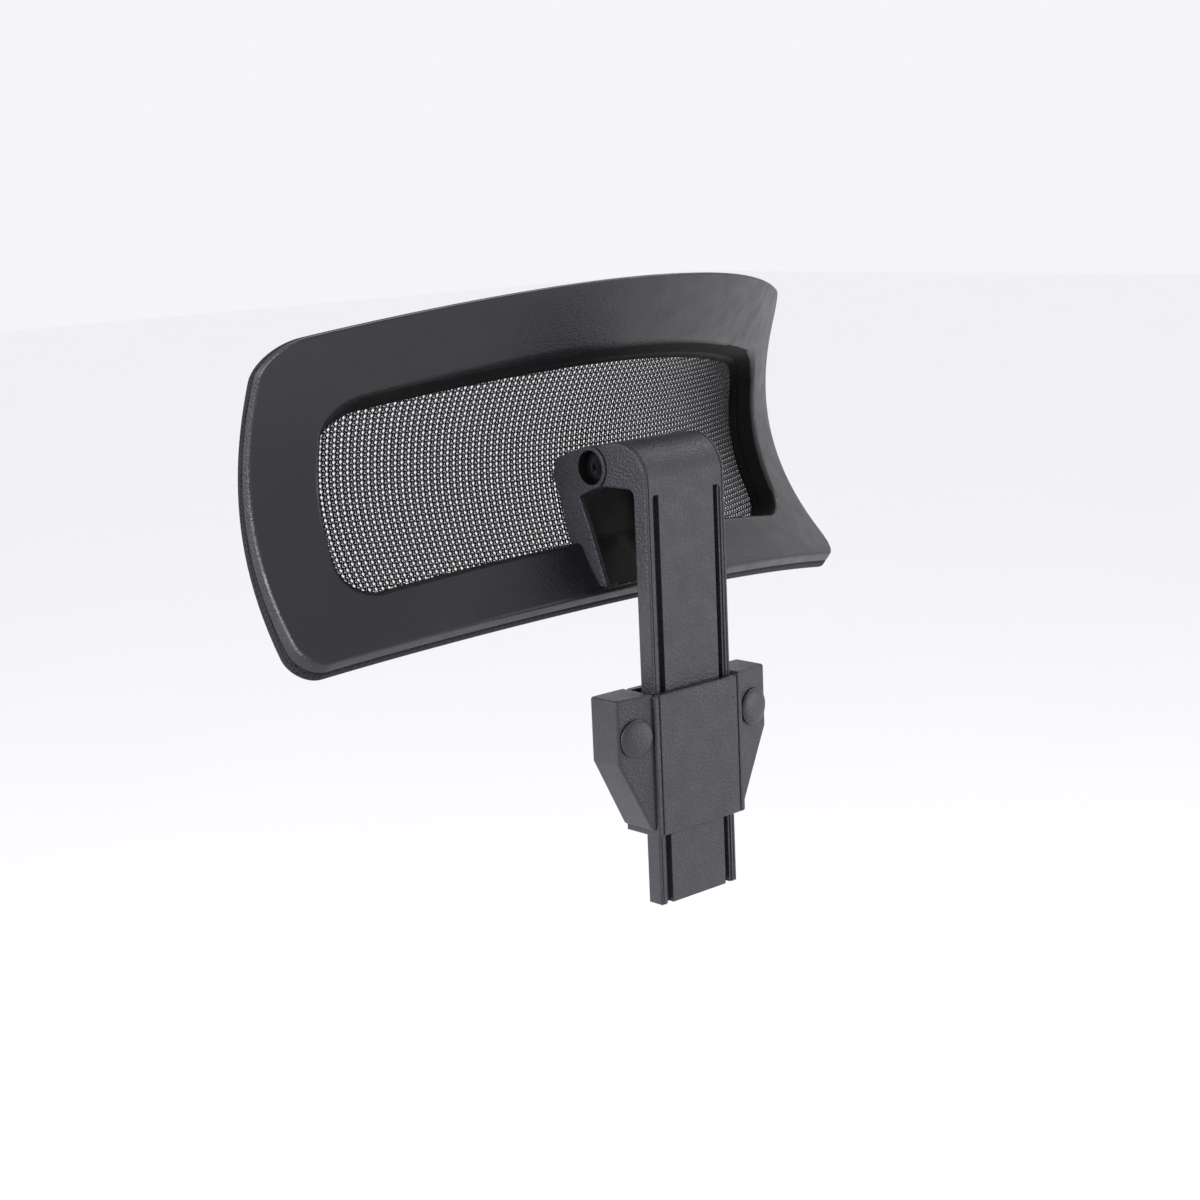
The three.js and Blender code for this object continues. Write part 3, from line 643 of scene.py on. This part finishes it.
def make_pivot_bores():
    """The bolt's hole through both ears, and the recess for its head and for its nut."""
    clear = 30
    through = turned((1, 0, 0), PIVOT, [(BOLT_HOLE_RADIUS, -clear), (BOLT_HOLE_RADIUS, clear)])
    left = turned((1, 0, 0), PIVOT, [(RECESS_RADIUS, EAR_OUTER - RECESS_DEPTH), (RECESS_RADIUS, clear)])
    right = turned((1, 0, 0), PIVOT, [(RECESS_RADIUS, -clear), (RECESS_RADIUS, -EAR_OUTER + RECESS_DEPTH)])
    # The bores' walls take the darker plastic as painted shade.
    return [loose_solid("bore", *solid, INNER_PLASTIC_AND_PAINTED_SHADE) for solid in (through, left, right)]


def make_headrest_frame():
    """The rear shell: a band round the opening, with the ears joined on and bored."""
    face = [edge_ring(share, 0, 0) for share in (0.25, 0.4, 0.55, 0.7)]
    wall = [edge_ring(1, 0, depth) for depth in (5.5, FRAME_DEPTHS[1])]
    back = [edge_ring(0.5, *FRAME_DEPTHS), edge_ring(0, *FRAME_DEPTHS),
            edge_ring(0, FRAME_DEPTHS[0] - 0.4, FRAME_DEPTHS[1])]
    rings = outer_fillet(1.1) + face + rim_fillet(2.4) + wall + back
    vertices, faces = ring_tube(rings)
    shell = new_piece("headrest_shell", vertices, faces, "headrest", "shell_plastic", "headrest_frame")
    shell.data.materials.append(SHELL)
    # Second slot: the darker plastic that paints shade on the opening's inner wall.
    shell.data.materials.append(INNER_PLASTIC_AND_PAINTED_SHADE)
    paint_shade_on_inner_wall(shell)
    combine(shell, "UNION", *make_ears())
    combine(shell, "DIFFERENCE", *make_rail_pockets(), *make_pivot_bores())
    smooth_by_angle(shell, 32)


def paint_shade_on_inner_wall(shell):
    """Paints shade on the wall of the opening with the darker, duller copy of the plastic."""
    middle_z, fillet_depth, facing_limit = 128, 1.5, 0.55
    for polygon in shell.data.polygons:
        x, y, z = polygon.center / MM
        depth = saddle_y(x, z) - y
        towards_middle = polygon.normal.x * x + polygon.normal.z * (z - middle_z) < 0
        faces_inwards = abs(polygon.normal.y) < facing_limit
        if depth > fillet_depth and towards_middle and faces_inwards:
            # Painted shade: deep faces of the opening that face inwards take the darker plastic.
            polygon.material_index = 1


def make_carrier():
    """The ring under the cloth, which follows the frame's band."""
    backs = [edge_ring(share, *CARRIER_BACK) for share in (0.07, 0.5, 1)]
    fronts = [edge_ring(share, *CARRIER_FRONT) for share in (1, 0.5, 0.07)]
    vertices, faces = ring_tube(backs + fronts)
    carrier = new_piece("carrier_ring", vertices, faces, "headrest", "inner_plastic", "mesh_carrier")
    surface(carrier, INNER_PLASTIC_AND_PAINTED_SHADE, 40)


# ---------------------------------------------------------------- knitted mesh


def arc_tables():
    """Distance along the cloth for x across the head and for z up the neck."""
    x = np.linspace(-170, 170, 681)
    z = np.linspace(40, 215, 701)
    across = np.concatenate([[0], np.cumsum(np.hypot(np.diff(x), np.diff(saddle_y(x, WINDOW_Z))))])
    up = np.concatenate([[0], np.cumsum(np.hypot(np.diff(z), np.diff(saddle_y(0.0, z))))])
    return x, across - np.interp(0, x, across), z, up - np.interp(WINDOW_Z, z, up)


TABLE_X, TABLE_ACROSS, TABLE_Z, TABLE_UP = arc_tables()


def knit_coordinates(x, z):
    """Repeats of the knit across and up the cloth at a place on it."""
    u = np.interp(x, TABLE_X, TABLE_ACROSS) / KNIT_WIDTH
    v = np.interp(z, TABLE_Z, TABLE_UP) / KNIT_HEIGHT
    return np.stack([u, v], axis=1)


def cloth_place(u, v, sink):
    """The point of the cloth at knit coordinates, sunk back from its front by sink."""
    x = np.interp(u * KNIT_WIDTH, TABLE_ACROSS, TABLE_X)
    z = np.interp(v * KNIT_HEIGHT, TABLE_UP, TABLE_Z)
    y = saddle_y(x, z) - CLOTH_RIM_DEPTH + edge_pull(x, z)
    return np.stack([x, y + sink, z], axis=1)


def edge_pull(x, z):
    """How far the cloth leaves the saddle near its border, to meet the carrier's edge."""
    ring = edge_ring(1, CLOTH_OUTER_DEPTH, CLOTH_RIM_DEPTH)
    miss = ring[:, 1] - (saddle_y(ring[:, 0], ring[:, 2]) - CLOTH_RIM_DEPTH)
    ring_angle = np.arctan2(ring[:, 2] - WINDOW_Z, ring[:, 0])
    reach = np.hypot(ring[:, 0], ring[:, 2] - WINDOW_Z)
    order = np.argsort(ring_angle)
    angle = np.arctan2(z - WINDOW_Z, x)
    limit = np.interp(angle, ring_angle[order], reach[order], period=2 * np.pi)
    pull = np.interp(angle, ring_angle[order], miss[order], period=2 * np.pi)
    share = np.clip(np.hypot(x, z - WINDOW_Z) / limit, 0, 1)
    return pull * share**1.6


def knit_cell(boundary, half_u, half_v, points=12):
    """A hexagon of cloth round an elliptical hole: boundary and hole points, in step."""
    angle = 2 * np.pi * (np.arange(points) + 0.5) / points
    corners = np.array(boundary)
    ring = []
    for a in angle:
        ring.append(ray_to_hexagon(corners, np.array([math.cos(a), math.sin(a)])))
    hole = np.stack([half_u * np.cos(angle), half_v * np.sin(angle)], axis=1)
    return np.array(ring), hole


def ray_to_hexagon(corners, direction):
    """Where a ray from the middle of a hexagon meets its edge."""
    best = None
    for index, start in enumerate(corners):
        edge = corners[(index + 1) % len(corners)] - start
        cross = direction[0] * edge[1] - direction[1] * edge[0]
        if abs(cross) < 1e-9:
            continue
        reach = (start[0] * edge[1] - start[1] * edge[0]) / cross
        share = (start[0] * direction[1] - start[1] * direction[0]) / cross
        if reach > 0 and -1e-9 <= share <= 1 + 1e-9 and (best is None or reach < best):
            best = reach
    return direction * best


def inside_opening(x, z, margin=2.2):
    """Whether places lie in the carrier's opening, or within a margin round it."""
    centre = np.array([0, WINDOW_Z])
    reach = np.hypot(*(RIM_FRONT - centre).T)
    grown = centre + (RIM_FRONT - centre) * (1 + margin / reach)[:, None]
    angles = np.arctan2(grown[:, 1] - centre[1], grown[:, 0])
    order = np.argsort(angles)
    radii = np.hypot(grown[:, 0], grown[:, 1] - centre[1])
    place_angle = np.arctan2(z - centre[1], x)
    limit = np.interp(place_angle, angles[order], radii[order], period=2 * np.pi)
    return np.hypot(x, z - centre[1]) < limit


def knit_window():
    """Vertices, faces and knit coordinates of the open cloth over the frame's window.

    The cells are hexagons: a long one, narrow at its ends, and a round one that fills the
    place between four of them.
    """
    end, waist = 0.17, 0.34
    most_columns, most_rows = 60, 32
    long_cell = knit_cell([(end, -0.5), (waist, 0), (end, 0.5), (-end, 0.5), (-waist, 0), (-end, -0.5)],
                          *LONG_HOLE)
    round_cell = knit_cell([(0.5 - waist, -0.5), (0.5 - end, 0), (0.5 - waist, 0.5),
                            (waist - 0.5, 0.5), (end - 0.5, 0), (waist - 0.5, -0.5)],
                           *ROUND_HOLE)
    columns = np.arange(-most_columns, most_columns + 1)
    rows = np.arange(-most_rows, most_rows + 1)
    vertices, coordinates, faces = [], [], []
    total = 0
    for ring, hole, shift in ((*long_cell, 0.0), (*round_cell, 0.5)):
        count = len(ring)
        lift = ROUND_HOLE_LIFT if shift else 0.0
        for column in columns:
            centres = np.stack([np.full(len(rows), column + shift), rows + shift], axis=1)
            places = cloth_place(centres[:, 0], centres[:, 1], 0)
            for centre in centres[inside_opening(places[:, 0], places[:, 2])]:
                outer, inner = ring + centre, hole + centre + (0, lift)
                both = np.concatenate([outer, inner])
                sink = np.concatenate([np.zeros(count), np.full(count, KNIT_RELIEF)])
                vertices.append(cloth_place(both[:, 0], both[:, 1], sink))
                coordinates.append(both)
                for k in range(count):
                    beside = (k + 1) % count
                    faces.append((total + k, total + beside, total + count + beside, total + count + k))
                total += 2 * count
    return np.concatenate(vertices), faces, np.concatenate(coordinates)


def knit_border():
    """The cloth from the window's edge over the carrier's front and round its outer side."""
    shares = (1.0, 0.85, 0.7, 0.55, 0.4, 0.25, 0.12)
    rings = [edge_ring(share, CLOTH_OUTER_DEPTH, CLOTH_RIM_DEPTH) for share in shares]
    front_count = len(rings)
    turn_radius = 1.8
    for angle in np.linspace(0, np.pi / 2, 6):
        share = turn_radius * (1 - np.sin(angle)) / BAND_WIDTH
        depth = CLOTH_OUTER_DEPTH - turn_radius * (1 - np.cos(angle))
        rings.append(edge_ring(share, depth, CLOTH_RIM_DEPTH))
    turned_in = ((0.0, 4.8), (0.01, 4.3), (0.045, 4.15))
    rings += [edge_ring(share, depth, RIM_DEPTH) for share, depth in turned_in]
    outward = (OUTER - RIM) / BAND_WIDTH[:, None]
    per_mm = outward / (KNIT_WIDTH, KNIT_HEIGHT)
    coordinates = []
    for row, ring in enumerate(rings):
        if row <= front_count:
            flat = knit_coordinates(ring[:, 0], ring[:, 2])
        else:
            flat = flat + per_mm * np.linalg.norm(ring - rings[row - 1], axis=1)[:, None]
        coordinates.append(flat)
    faces = ring_faces(len(rings), len(rings[0]), False)
    return np.concatenate(rings), faces, np.concatenate(coordinates)


def make_cloth():
    """One sheet: real holes over the window, closed knit over the carrier."""
    window_vertices, window_faces, window_knit = knit_window()
    border_vertices, border_faces, border_knit = knit_border()
    offset = len(window_vertices)
    vertices = np.concatenate([window_vertices, border_vertices])
    faces = window_faces + [tuple(offset + k for k in face) for face in border_faces]
    mesh = bpy.data.meshes.new("mesh_cloth")
    mesh.from_pydata([tuple(v) for v in vertices * MM], [], faces)
    knit = np.concatenate([window_knit, border_knit])
    loops = np.empty(len(mesh.loops), dtype=np.int32)
    mesh.loops.foreach_get("vertex_index", loops)
    layer = mesh.uv_layers.new(name="knit")
    layer.data.foreach_set("uv", knit[loops].astype(np.float32).ravel())
    mesh.materials.append(YARN)
    mesh.materials.append(BACKED_KNIT)
    slots = [0] * len(window_faces) + [1] * len(border_faces)
    mesh.polygons.foreach_set("material_index", slots)
    mesh.polygons.foreach_set("use_smooth", [True] * len(faces))
    cloth = bpy.data.objects.new("mesh_cloth", mesh)
    bpy.context.scene.collection.objects.link(cloth)
    enrol(cloth, "headrest", "knit", "mesh_panel", "mesh_hem")
    return cloth


# ---------------------------------------------------------------- slider


def bar_path():
    """The bar and hooked arm in (y, z), with its knuckle round the pivot."""
    points = [(BAR_FRONT, BAR_BOTTOM), (BAR_REAR, BAR_BOTTOM)]
    angle = np.linspace(0, np.pi / 2, 25)
    shoulder = np.stack([BAR_REAR - SHOULDER_RADIUS + SHOULDER_RADIUS * np.cos(angle),
                         ARM_TOP - SHOULDER_RADIUS + SHOULDER_RADIUS * np.sin(angle)], axis=1)
    slope = [(-3, ARM_TOP - 0.2), (-6, ARM_TOP - 0.6), (-9, ARM_TOP - 1.2), (-12, ARM_TOP - 2.2)]
    turn = np.linspace(0.42 * np.pi, 1.58 * np.pi, 33)
    knuckle = np.stack([PIVOT.y + KNUCKLE_RADIUS * np.cos(turn),
                        PIVOT.z + KNUCKLE_RADIUS * np.sin(turn)], axis=1)
    inner_radius = 3
    turn = np.linspace(np.pi / 2, 0, 9)
    inner = np.stack([BAR_FRONT - inner_radius + inner_radius * np.cos(turn),
                      ARM_UNDERSIDE - inner_radius + inner_radius * np.sin(turn)], axis=1)
    neck = [(PIVOT.y + 6, ARM_UNDERSIDE)]
    return np.concatenate([points, shoulder, slope, knuckle, neck, inner])


def bar_stations():
    """Rounded corners, then the fine V-shaped line just inside each of them."""
    half = [(BAR_HALF, 0.9), (BAR_HALF - 0.08, 0.55), (BAR_HALF - 0.3, 0.22), (BAR_HALF - 0.65, 0.04),
            (BAR_HALF - 1.0, 0.0), (BAR_HALF - 1.25, 0.08), (BAR_HALF - 1.55, 0.5), (BAR_HALF - 1.85, 0.08),
            (BAR_HALF - 2.1, 0.0)]
    return [(-x, inset) for x, inset in half] + half[::-1]


def make_bar():
    """The bar and its arm, cut for the grooves, the bosses, the bushes and the stop's screw."""
    vertices, faces = side_loft(bar_path(), bar_stations())
    bar = new_piece("slider_bar_moulding", vertices, faces, "slider", "bar_plastic", "slider_bar")
    cutters = []
    clear = 5
    for side in (-1, 1):
        centre = side * GROOVE_X
        low = (centre - GROOVE_WIDTH / 2, BAR_REAR - GROOVE_DEPTH, BAR_BOTTOM - clear)
        high = (centre + GROOVE_WIDTH / 2, BAR_REAR + clear, GROOVE_TOP)
        cutters.append(box_solid("groove", low, high))
        groove_edge = GROOVE_X + GROOVE_WIDTH / 2
        edges = sorted((side * (groove_edge - 0.5), side * (groove_edge + REBATE_WIDTH)))
        low = (edges[0], BAR_REAR - REBATE_DEPTH, BAR_BOTTOM - clear)
        high = (edges[1], BAR_REAR + clear, GROOVE_TOP - 1)
        cutters.append(box_solid("rebate", low, high))
        clearance = [(BOSS_RADIUS + 0.4, KNUCKLE_HALF), (BOSS_RADIUS + 0.4, KNUCKLE_HALF + 20)]
        cutters.append(loose_solid("clearance", *turned((side, 0, 0), PIVOT, clearance, 72)))
    bore = [(BUSH_HOLE_RADIUS, -30), (BUSH_HOLE_RADIUS, 30)]
    cutters.append(loose_solid("bore", *turned((1, 0, 0), PIVOT, bore)))
    hole = [(STOP_SCREW_RADIUS, 0), (STOP_SCREW_RADIUS, 13.5)]
    cutters.append(loose_solid("hole", *turned((0, 1, 0), (0, 0, STOP_SCREW_Z), hole, 32)))
    combine(bar, "DIFFERENCE", *cutters)
    surface(bar, BAR)


# ---------------------------------------------------------------- bracket


def make_sleeve():
    """The raised middle of the bracket, with a bead and a V-shaped line near each side."""
    corners = [(0, SLEEVE_BOTTOM), (SLEEVE_REAR, SLEEVE_BOTTOM), (SLEEVE_REAR, SLEEVE_TOP), (0, SLEEVE_TOP)]
    path = rounded_path(corners, [0, 1.3, 1.1, 0], 6)
    half = [(SLEEVE_HALF, 0.8), (SLEEVE_HALF - 0.1, 0.45), (SLEEVE_HALF - 0.35, 0.15), (SLEEVE_HALF - 0.8, 0),
            (SLEEVE_LINE + 0.75, 0), (SLEEVE_LINE + 0.4, 0.15), (SLEEVE_LINE, 0.95),
            (SLEEVE_LINE - 0.4, 0.15), (SLEEVE_LINE - 0.75, 0)]
    stations = [(-x, inset) for x, inset in half] + half[::-1]
    return loose_solid("sleeve", *side_loft(path, stations))


def make_wing(side):
    """One swept wing of the bracket, with its lower outer corner cut off at a slant."""
    inner = CHANNEL_HALF + 0.5
    outline_xz = [(inner, WING_FOOT), (WING_FOOT_HALF, WING_FOOT), (WING_HALF, WING_CORNER),
                  (WING_HALF, WING_TOP), (inner, WING_TOP)]
    vertices = [(side * x, 0, z) for x, z in outline_xz]
    for x, z in outline_xz:
        vertices.append((side * x, min(WING_DEPTH, CAP_Y - (x - CAP_X) * math.tan(SWEEP)), z))
    count = len(outline_xz)
    faces = [tuple(range(count)), tuple(range(2 * count - 1, count - 1, -1))]
    faces += [(k, (k + 1) % count, (k + 1) % count + count, k + count) for k in range(count)]
    wing = loose_solid("wing", vertices, faces)
    bevel(wing, 1.3, 4)
    return wing


def make_bracket():
    """The sleeve and wings as one moulding, cut for the bar, the back plate and the screws."""
    sleeve = make_sleeve()
    combine(sleeve, "UNION", make_wing(-1), make_wing(1))
    bar_gap = 0.35
    low = (-CHANNEL_HALF, PLATE_SEAT_DEPTH, -60)
    high = (CHANNEL_HALF, BAR_REAR + bar_gap, 60)
    cutters = [box_solid("channel", low, high), make_plate_seat()]
    for side in (-1, 1):
        site = (side * CAP_X, 0, CAP_Z)
        counterbore = [(COUNTERBORE_RADIUS, 6), (COUNTERBORE_RADIUS, 40)]
        cutters.append(loose_solid("counterbore", *turned((0, 1, 0), site, counterbore)))
        shank = [(MOUNT_HOLE_RADIUS, -5), (MOUNT_HOLE_RADIUS, 10)]
        cutters.append(loose_solid("shank", *turned((0, 1, 0), site, shank, 32)))
        for z in PLATE_SCREW_ZS:
            pilot = turned((0, 1, 0), (side * PLATE_SCREW_X, 0, z), [(1.8, 0), (1.8, 12.5)], 24)
            cutters.append(loose_solid("pilot", *pilot))
    combine(sleeve, "DIFFERENCE", *cutters)
    sleeve.name = "bracket_moulding"
    surface(sleeve, BRACKET)
    enrol(sleeve, "bracket", "bracket_plastic", "bracket_housing")


def make_plate_seat():
    """The shallow seat that the back plate lies in, with room all round it."""
    room = 0.3
    half, foot_half = PLATE_HALF + room, PLATE_FOOT_HALF + room
    top, foot = PLATE_TOP + room, PLATE_FOOT - room
    outline_xz = [(-half, top), (-half, PLATE_CORNER), (-foot_half, foot),
                  (foot_half, foot), (half, PLATE_CORNER), (half, top)]
    rings = [np.array([(x, y, z) for x, z in outline_xz]) for y in (-5, PLATE_SEAT_DEPTH)]
    return loose_solid("seat", *capped_rings(rings))


def make_caps():
    """The two domed caps, square to the swept wings, each with a soft rim."""
    gap, rim = 0.3, 0.6
    stem = [(CAP_STEM_RADIUS, -3), (CAP_STEM_RADIUS, gap), (CAP_RADIUS - gap, gap), (CAP_RADIUS, rim)]
    profile = stem + dome(CAP_RADIUS, rim, CAP_DOME, 13)
    for side, word in ((1, "left"), (-1, "right")):
        axis = (side * math.sin(SWEEP), math.cos(SWEEP), 0)
        solid = turned(axis, (side * CAP_X, CAP_Y, CAP_Z), profile)
        cap = new_piece(f"domed_cap_{word}", *solid, "bracket", "cap_plastic", f"screw_cap_{word}")
        surface(cap, CAP, 40)


def make_pivot_bolt():
    """Button-headed bolt with a hexagon socket, seen at the bottom of the ear's recess."""
    head = EAR_OUTER - 4.1
    rim = head + 0.4
    shank = [(2.5, -EAR_OUTER + 1.6), (3, -EAR_OUTER + 2.2), (3, head)]
    edge = [(BOLT_HEAD_RADIUS, head), (BOLT_HEAD_RADIUS, rim)]
    profile = shank + edge + dome(BOLT_HEAD_RADIUS, rim, BOLT_HEAD_DOME, 9)
    vertices, faces = turned((1, 0, 0), PIVOT, profile)
    bolt = new_piece("pivot_button_bolt", vertices, faces, "headrest", "black_steel", "pivot_bolt")
    socket = turned((1, 0, 0), PIVOT, [(1.5, head + 0.9), (1.5, head + 5)], 6)
    combine(bolt, "DIFFERENCE", loose_solid("socket", *socket))
    surface(bolt, BLACK_STEEL)


# ---------------------------------------------------------------- studio


def make_camera():
    """The main view: from behind, to one side and a little above, held slightly tilted."""
    azimuth, elevation, roll = (math.radians(a) for a in (137.69, 11.1, -2.49))
    back = Vector((math.sin(azimuth) * math.cos(elevation), -math.cos(azimuth) * math.cos(elevation),
                   math.sin(elevation)))
    level = Vector((math.cos(azimuth), math.sin(azimuth), 0))
    upright = back.cross(level)
    right = math.cos(roll) * level + math.sin(roll) * upright
    up = math.cos(roll) * upright - math.sin(roll) * level
    aim = Vector((0, 16, 30)) * MM
    distance, shift_right, shift_up = 907.6, -38.21, 34.7
    place = aim + (back * distance + right * shift_right + up * shift_up) * MM
    camera = bpy.data.objects.new("camera", bpy.data.cameras.new("camera"))
    camera.data.sensor_width = 36
    camera.data.lens = 66
    camera.data.clip_start = 0.01
    camera.matrix_world = Matrix((right, up, back)).transposed().to_4x4()
    camera.location = place
    bpy.context.scene.collection.objects.link(camera)
    bpy.context.scene.camera = camera


def soft_box(name, place, size, power):
    """A rectangular light, in metres and watts, that faces the middle of the object."""
    light = bpy.data.lights.new(name, "AREA")
    light.shape = "RECTANGLE"
    light.size, light.size_y = size
    light.energy = power
    lamp = bpy.data.objects.new(name, light)
    lamp.location = place
    aim = Vector((0, 0, 0.1)) - Vector(place)
    lamp.rotation_euler = aim.to_track_quat("-Z", "Y").to_euler()
    bpy.context.scene.collection.objects.link(lamp)


def make_world():
    world = bpy.data.worlds.new("studio")
    world.use_nodes = True
    background = world.node_tree.nodes["Background"]
    background.inputs["Color"].default_value = (0.92, 0.91, 0.945, 1)
    background.inputs["Strength"].default_value = 1.0
    bpy.context.scene.world = world


def make_floor():
    """A wide pale floor, well under the object so that it casts no hard shadow."""
    half, height = 12, -0.6
    corners = [(-half, -half, 0), (half, -half, 0), (half, half, 0), (-half, half, 0)]
    mesh = bpy.data.meshes.new("floor")
    mesh.from_pydata(corners, [], [(0, 1, 2, 3)])
    floor = bpy.data.objects.new("floor", mesh)
    floor.location = (0, 0, height)
    bpy.context.scene.collection.objects.link(floor)
    nodes = Nodes("pale_floor")
    nodes.link(nodes.blend_colour(nodes.noise(3), (0.95, 0.945, 0.955), (0.97, 0.965, 0.97)),
               nodes.shader.inputs["Base Color"])
    nodes.shader.inputs["Roughness"].default_value = 0.9
    mesh.materials.append(nodes.material)


def make_studio():
    bpy.context.scene.view_settings.view_transform = "Standard"
    make_world()
    soft_box("rear_right", (-1.5, 1.7, 0.0), (1.1, 0.8), 11)
    soft_box("left", (1.7, -0.55, 0.6), (0.8, 0.6), 26)
    soft_box("top_right", (-1.3, 0.35, 1.4), (0.25, 0.25), 5)
    make_floor()


# ---------------------------------------------------------------- build

make_camera()
dress_cad_nodes()
make_headrest_frame()
make_carrier()
make_cloth()
make_bar()
make_bracket()
make_caps()
make_pivot_bolt()
make_studio()
